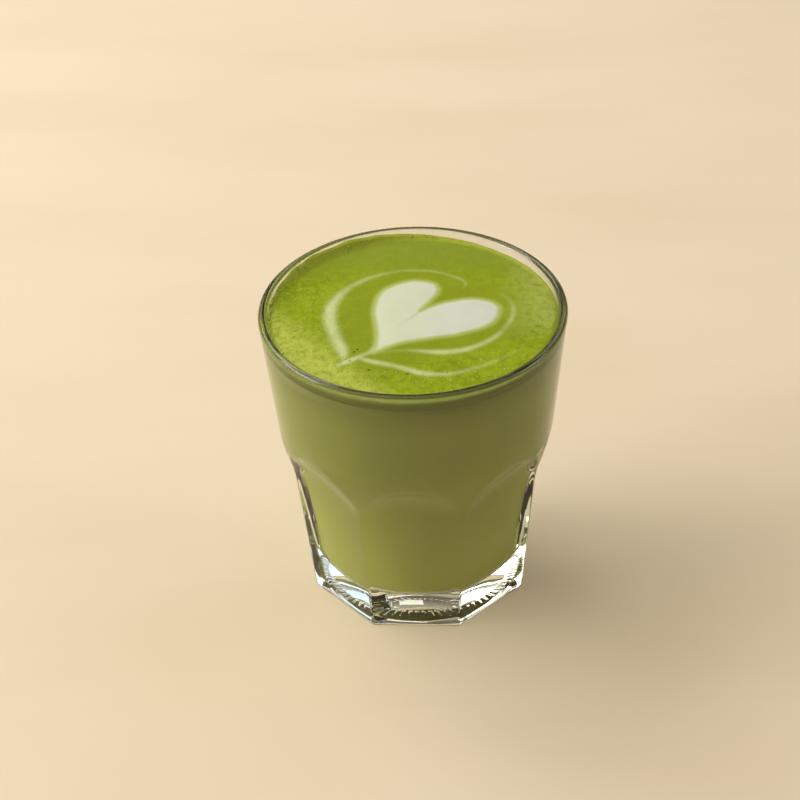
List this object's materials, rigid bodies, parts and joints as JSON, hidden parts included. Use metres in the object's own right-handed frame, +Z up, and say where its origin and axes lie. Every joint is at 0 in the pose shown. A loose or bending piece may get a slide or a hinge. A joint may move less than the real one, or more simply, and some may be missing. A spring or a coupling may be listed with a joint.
{
  "type": "matcha latte",
  "caption": "Milky green tea drink in a clear faceted tumbler, with green foam and a milk foam heart on top.",
  "frame": {"origin": "middle of the underside of the tumbler's foot, on the surface it stands on", "axes": "+Z up along the tumbler's axis, one of the eight flat panels faces -Y"},
  "size_m": [0.085, 0.085, 0.091],
  "materials": {
    "clear_glass": "gloss",
    "matcha_latte": "satin",
    "green_foam": "satin",
    "milk_foam": "satin"
  },
  "bodies": {
    "root": {"glass": "clear_glass", "latte": "matcha_latte", "foam": "green_foam", "milk_heart": "milk_foam"}
  },
  "joints": []
}
